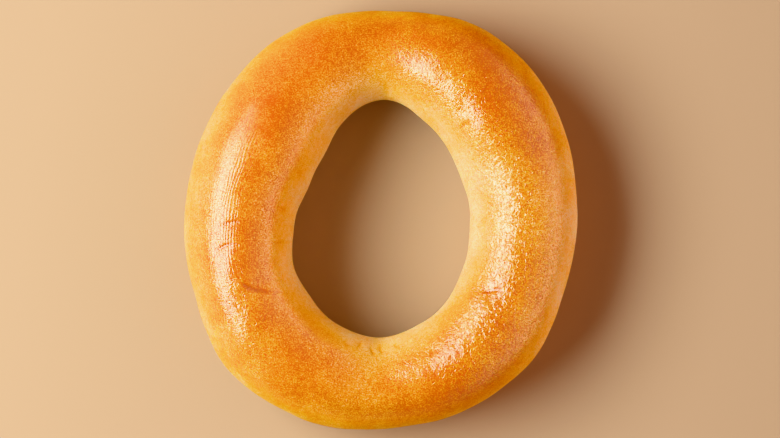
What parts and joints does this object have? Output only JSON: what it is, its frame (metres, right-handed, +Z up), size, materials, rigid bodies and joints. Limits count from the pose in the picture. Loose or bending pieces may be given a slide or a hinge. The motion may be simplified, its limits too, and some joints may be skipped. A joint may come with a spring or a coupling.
{
  "type": "bagel",
  "caption": "Ring-shaped bread roll with a wide oval hole, a rounded uneven rope, a glossy egg-washed golden crust and a flat baked underside to rest on.",
  "frame": {"origin": "centre of the ring's box, at the level of the flat underside it rests on", "axes": "+Z up through the hole, away from the underside; +Y along the ring's longest line, towards the narrow end of the hole"},
  "size_m": [0.1046, 0.1118, 0.0314],
  "materials": {
    "crust": "baked bread crust: glossy egg wash over fine wrinkles, deep amber on the crown, golden on the shoulders, pale cream at the waist and in the hole, matte underneath"
  },
  "bodies": {
    "root": {"bagel": "crust"}
  },
  "joints": []
}
